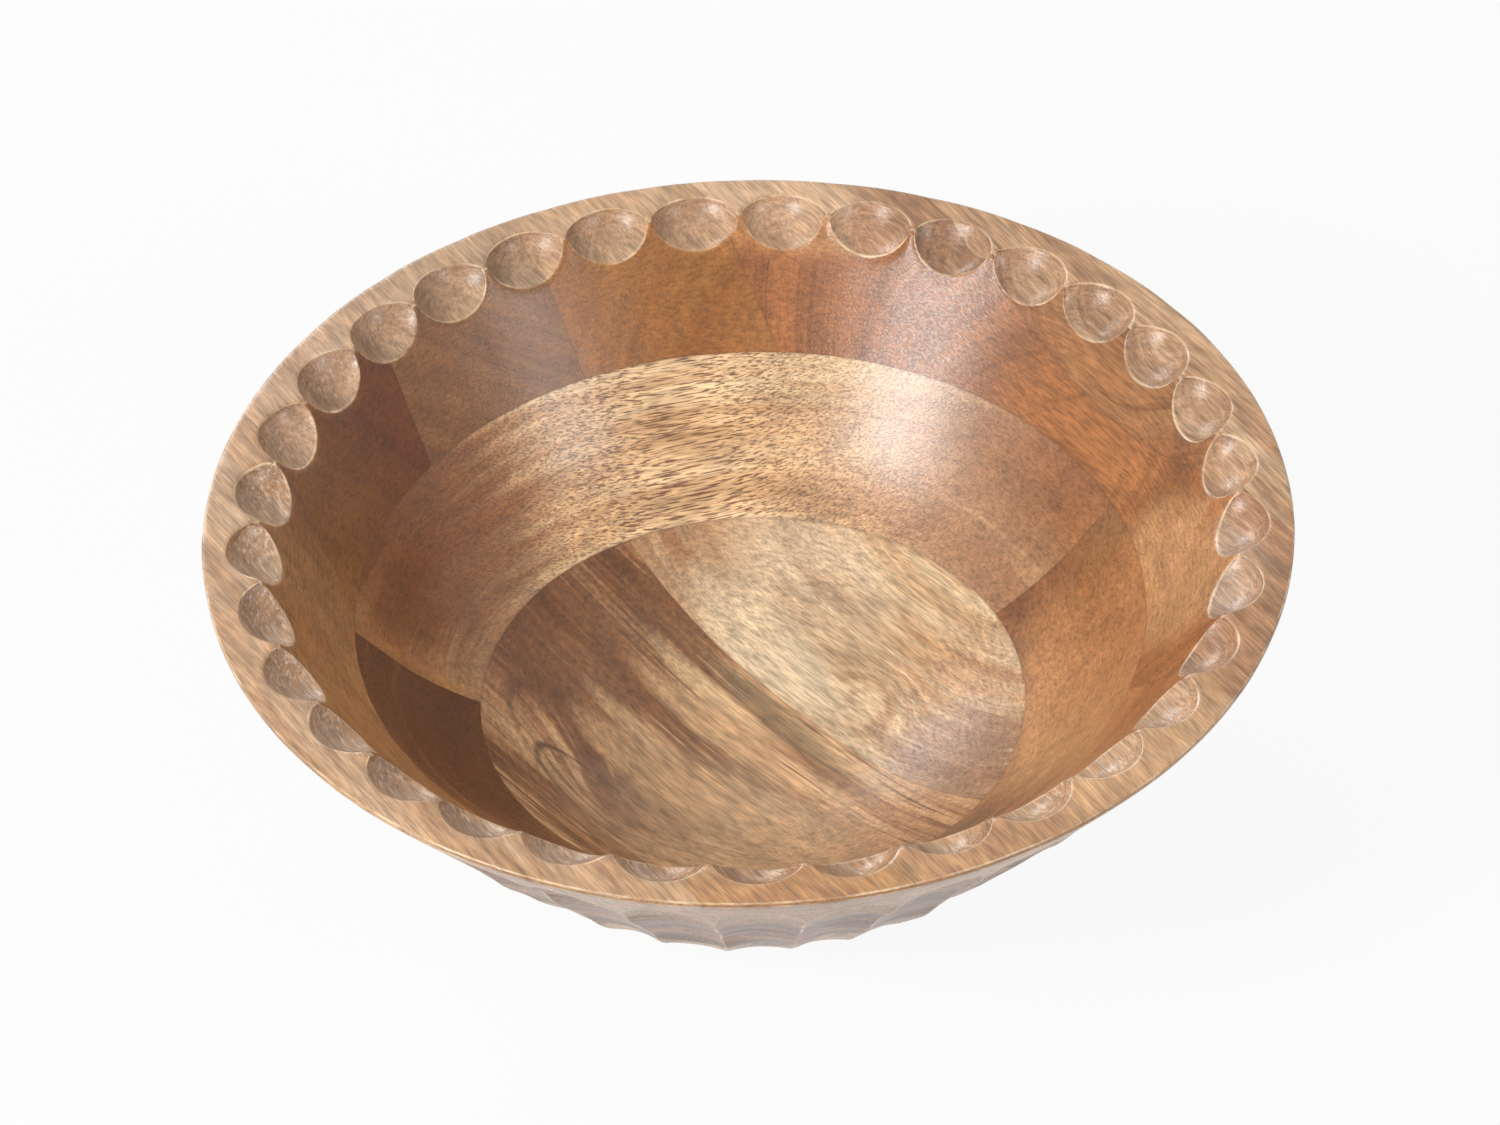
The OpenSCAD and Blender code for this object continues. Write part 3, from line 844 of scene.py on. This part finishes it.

# %% [markdown]
# ## How each board looks
# Boards differ even within one tree, so each has its own tones and its own place in the noise. Thirteen
# functions would bury those numbers in code. A table says it best, because one board can be changed without
# touching the rest. Boards that leave an entry out take the usual value from the cells above.

# %% [markdown]
# - seed: the board's place in the noise; heart: where the middle of the tree was, across and above, in mm
# - pale, mid, deep: the tones of its streaks; streaks: the noise from pale to deep; streak_mm: their width
# - lines, pores, torn_and_sheen: how strongly thin lines, pores and torn strands with their painted sheen
#   show; film: how much oil lies on top
# - inside: the tint of its part of the hollow; soak: how much darker its end grain turns there
# - knots: place, half sizes and turn of an oval, how far it pushes the layers, how dark its outline is
# - patches: place, half sizes and turn of an oval, its tone and its strength

# %% Rim boards at the left and the front
looks = {
    "rim_board_front_left": {
        "seed": 1.3, "heart": (-420, -40), "pale": "#d4ae88", "mid": "#be9166", "deep": "#966a46",
        "streaks": (0.25, 0.8), "inside": "#e8d4b0", "torn_and_sheen": 0.45},
    "rim_board_left": {
        "seed": 2.7, "heart": (-330, -80), "pale": "#d4ae8c", "mid": "#c09670", "deep": "#9c7250",
        "streaks": (0.2, 0.9), "inside": "#e2ca8c", "soak": 1.0, "torn_and_sheen": 0.2},
    "rim_board_front": {
        "seed": 3.1, "heart": (-80, -320), "pale": "#d4a272", "mid": "#c08c5a", "deep": "#946440",
        "streaks": (0.3, 0.75), "inside": "#e8ccac", "torn_and_sheen": 0.4},
    "rim_board_back_left": {
        "seed": 4.9, "heart": (-200, -160), "pale": "#ccaa86", "mid": "#ba926c", "deep": "#a07a56",
        "streaks": (0.2, 0.9), "inside": "#f0e8d0", "soak": 0.75},
    "rim_board_front_right": {
        "seed": 5.2, "heart": (40, -320), "pale": "#dcb082", "mid": "#ca9a6c", "deep": "#a0704a",
        "streaks": (0.3, 0.75), "inside": "#e8ccac", "torn_and_sheen": 0.4},
}
print("boards described:", len(looks))

# %% Rim boards at the back and the right
looks |= {
    "rim_board_back": {
        "seed": 6.6, "heart": (250, -120), "pale": "#d4ac84", "mid": "#c69a70", "deep": "#b08258",
        "streaks": (0.2, 0.9), "inside": "#f0d8a0", "soak": 0.6},
    "rim_board_right": {
        "seed": 7.4, "heart": (60, -320), "pale": "#d8ac80", "mid": "#c69668", "deep": "#a0724c",
        "streaks": (0.3, 0.75), "inside": "#f0d8bc", "soak": 0.5, "torn_and_sheen": 0.4},
    "rim_board_inner_right": {
        "seed": 8.8, "heart": (330, -60), "pale": "#c8946a", "mid": "#b08058", "deep": "#8a603c",
        "streaks": (0.3, 0.75), "streak_mm": 6, "lines": 0.6, "inside": "#f0d6b0", "soak": 0.4,
        "patches": [((10, 168, 119), (90, 40, 14), -58, "#e4bc94", 0.8),
                    ((145, -10, 95), (60, 30, 40), -58, "#dcbca0", 0.8)]},
    "rim_board_outer_right": {
        "seed": 9.5, "heart": (400, 0), "pale": "#dcb48c", "mid": "#ca9c72", "deep": "#9c704a",
        "streaks": (0.3, 0.75), "streak_mm": 6, "lines": 0.7, "inside": "#ccb090"},
}
print("boards described:", len(looks))

# %% Middle boards
looks |= {
    "middle_board_back": {
        "seed": 10.1, "heart": (40, -320), "pale": "#f6d6a8", "mid": "#e8be8e", "deep": "#c4925e",
        "pores": 0.85, "film": 0.6,
        "patches": [((-112, 55, 62), (62, 60, 50), 12, "#a66e3e", 0.8),
                    ((82, 80, 66), (86, 64, 50), 12, "#d6ac84", 0.85),
                    ((-112, -1, 58), (44, 7, 40), 12, "#f4c88c", 1.0)]},
    "middle_board_front": {
        "seed": 11.6, "heart": (-20, -320), "pale": "#c4905c", "mid": "#a87244", "deep": "#704424",
        "soak": 0.7,
        "patches": [((-105, -30, 55), (75, 65, 55), 12, "#6c3c12", 0.9),
                    ((118, -15, 72), (75, 70, 65), 12, "#dca872", 0.95),
                    ((120, 39, 74), (26, 14, 20), 12, "#b89468", 0.6)]},
}
print("boards described:", len(looks))

# %% Base boards
looks |= {
    "base_board_left": {
        "seed": 12.2, "heart": (-320, -60), "pale": "#e8be8e", "mid": "#c28e62", "deep": "#885a38",
        "streaks": (0.4, 0.6), "streak_mm": 8, "lines": 0.9,
        "knots": [((-46, -39, 20), (44, 11, 60), -49, 10, 1.7),
                  ((-40, -30, 20), (68, 21, 60), -49, 12, 1.0)],
        "patches": [((-60, 46, 25), (60, 46, 50), -49, "#8e5e32", 0.85),
                    ((0, -58, 22), (75, 42, 50), -49, "#f4cc9c", 0.6),
                    ((-32, 58, 24), (46, 16, 40), -49, "#80542a", 0.8),
                    ((-17, 30, 18), (40, 5, 30), -49, "#ecc898", 0.8),
                    ((-15, 10, 18), (50, 6, 30), -49, "#e4bc8c", 0.6),
                    ((-40, 8, 20), (34, 5, 30), -49, "#e0b88a", 0.7),
                    ((-46, -40, 20), (44, 24, 30), -49, "#a07a60", 0.6),
                    ((-37, -12, 20), (44, 10, 30), -49, "#dcb080", 0.7),
                    ((9, 13, 18), (46, 7, 30), -53, "#8c7452", 0.75)]},
    "base_board_right": {
        "seed": 13.9, "heart": (360, -80), "pale": "#ecd0a8", "mid": "#dcb88e", "deep": "#c0966c",
        "streak_mm": 6, "lines": 0.5, "pores": 0.35,
        "knots": [((40, 23, 20), (28, 20, 60), -49, 18, 0.0)],
        "patches": [((68, 20, 28), (30, 24, 30), -49, "#c89668", 0.5),
                    ((20, 70, 30), (48, 24, 40), -49, "#f4e0c0", 0.5),
                    ((30, 52, 22), (36, 20, 30), -49, "#bc966e", 0.55),
                    ((4, 47, 21), (52, 17, 30), -53, "#f0d8b2", 0.9),
                    ((67, -24, 30), (44, 34, 34), -49, "#ac8468", 0.8)]},
}
print("boards described:", len(looks))

# %% Dress the boards
for node, piece in pieces.items():
    piece.data.materials.clear()
    piece.data.materials.append(mango_board(node, boards[node], looks[node]))
    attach(piece, "root")
    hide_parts(node)
print("nodes in one board's wood:", len(pieces["base_board_left"].active_material.node_tree.nodes))

# %% [markdown]
# ## Floor and background
# The bowl is shown on white paper, in front of white. A floor lit to white by lamps would also flood the bowl
# with light. So the paper and the world glow only for the camera, and for rays that reach it by way of gloss
# or glass. All other rays meet matt pale paper and a dim world, which keep the light plain. A small share of
# the paper stays matt for the camera too, and that keeps the bowl's shadow.

# %% White for the camera alone
WHITE = (1, 1, 1, 1)


def white_to_camera(tree, share):
    """A share for rays from the camera, also by way of gloss or glass, and none for the rest."""
    path = add(tree, "ShaderNodeLightPath").outputs
    seen = path["Is Camera Ray"]
    for kind in ("Is Glossy Ray", "Is Transmission Ray"):
        seen = add(tree, "ShaderNodeMath", {0: seen, 1: path[kind]}, operation="MAXIMUM")
    return add(tree, "ShaderNodeMath", {0: seen, 1: share}, operation="MULTIPLY")


print("helper made: white_to_camera")

# %% Paper floor
# Matt white paper spreads light evenly, with no gloss of its own.
FLOOR_SIZE, FLOOR_DROP = 8.0, 0.5 * MM
PAPER_GLOW = 0.92                 # the rest shows the shadow

bpy.ops.mesh.primitive_plane_add(size=FLOOR_SIZE, location=(0, 0, -FLOOR_DROP))
floor = bpy.context.object
floor.name = "paper_floor"
paper = bpy.data.materials.new("white_paper")
paper.use_nodes = True
tree = paper.node_tree
tree.nodes.clear()
matt = add(tree, "ShaderNodeBsdfDiffuse", {"Color": linear("#dedede")})
glow = add(tree, "ShaderNodeEmission", {"Color": WHITE, "Strength": 1.0})
mixed = add(tree, "ShaderNodeMixShader", {0: white_to_camera(tree, PAPER_GLOW), 1: matt, 2: glow})
add(tree, "ShaderNodeOutputMaterial", {"Surface": mixed})
floor.data.materials.append(paper)
print("floor:", floor.name)

# %% World
WORLD_LEVEL = 0.2                 # soft light from all sides

world = bpy.data.worlds.new("white_studio")
bpy.context.scene.world = world
world.use_nodes = True
tree = world.node_tree
tree.nodes.clear()
lit = add(tree, "ShaderNodeBackground", {"Color": WHITE, "Strength": WORLD_LEVEL})
shown = add(tree, "ShaderNodeBackground", {"Color": WHITE, "Strength": 1.0})
mixed = add(tree, "ShaderNodeMixShader", {0: white_to_camera(tree, 1.0), 1: lit, 2: shown})
add(tree, "ShaderNodeOutputWorld", {"Surface": mixed})
print("world light:", WORLD_LEVEL)

# %% [markdown]
# ## Lamps
# Soft boxes light a product evenly, and their shapes show as highlights on the oiled wall. A lamp's power
# says little about the picture, so each box is set by how bright it makes a white card that faces it. The
# key stands at the left, and its mirror image is the broad shine on the wall at the right. A smaller box at
# the right gives the shine at the back left, one behind glints on the floor, and one above fills.

# %% Soft boxes
BOX_DISTANCE = 1.8                # metres
BOX_AIM = Vector((0, 0, 0.08))    # about the middle of the bowl


def soft_box(name, direction, size, level):
    """A rectangular soft light aimed at the bowl. Level 1 alone lights a white card facing it to white."""
    lamp = bpy.data.lights.new(name, "AREA")
    lamp.shape = "RECTANGLE"
    lamp.size, lamp.size_y = size
    lamp.energy = level * math.pi ** 2 * BOX_DISTANCE ** 2
    box = bpy.data.objects.new(name, lamp)
    bpy.context.scene.collection.objects.link(box)
    box.location = Vector(direction).normalized() * BOX_DISTANCE + BOX_AIM
    box.rotation_euler = (box.location - BOX_AIM).to_track_quat("Z", "Y").to_euler()
    print(name, round(lamp.energy, 1), "W")


soft_box("soft_box_left", (-0.64, -0.53, 0.58), (0.55, 0.62), 0.9)
soft_box("soft_box_right", (0.7, -0.5, 0.51), (0.4, 0.45), 0.25)
soft_box("soft_box_top", (0.1, 0.45, 1.0), (1.6, 1.2), 0.07)
soft_box("soft_box_back", (-0.36, 0.8, 0.45), (0.7, 0.5), 0.3)

# %% [markdown]
# ## Camera
# A long lens from well away keeps the rim's ellipse as round as in the photograph. The camera looks down on
# the middle of the rim, with a slight roll. Rather than shift the lens, it is aimed at the middle of the
# picture, which keeps other views of the bowl in the frame.

# %% Camera
VIEW_W, VIEW_H = 1500, 1125                        # the picture, in pixels
FOCAL_PX = 6825.0                                  # focal length in pixels of that picture
RIM_X, RIM_Y = 747.6, 520.0                        # where the middle of the rim is seen
RISE, ROLL = math.radians(41.41), math.radians(-1.73)
DISTANCE = 2251.4                                  # from the middle of the rim, in mm

back = Vector((0, -math.cos(RISE), math.sin(RISE)))
right, up = Vector((1, 0, 0)), back.cross(Vector((1, 0, 0)))
right, up = right * math.cos(ROLL) + up * math.sin(ROLL), up * math.cos(ROLL) - right * math.sin(ROLL)
place = (Vector((0, 0, BOWL_H)) + back * DISTANCE) * MM
aim = right * ((VIEW_W / 2 - RIM_X) / FOCAL_PX) - up * ((VIEW_H / 2 - RIM_Y) / FOCAL_PX) - back
back = -aim.normalized()
right = up.cross(back).normalized()
up = back.cross(right)

lens = bpy.data.cameras.new("camera")
lens.sensor_width = 36
lens.lens = FOCAL_PX / VIEW_W * lens.sensor_width
lens.clip_start, lens.clip_end = 0.05, 50
camera = bpy.data.objects.new("camera", lens)
bpy.context.scene.collection.objects.link(camera)
camera.matrix_world = Matrix(((right.x, up.x, back.x, place.x), (right.y, up.y, back.y, place.y),
                              (right.z, up.z, back.z, place.z), (0, 0, 0, 1)))
bpy.context.scene.camera = camera
bpy.context.scene.view_settings.view_transform = "Standard"
print("lens:", round(lens.lens, 1), "mm")
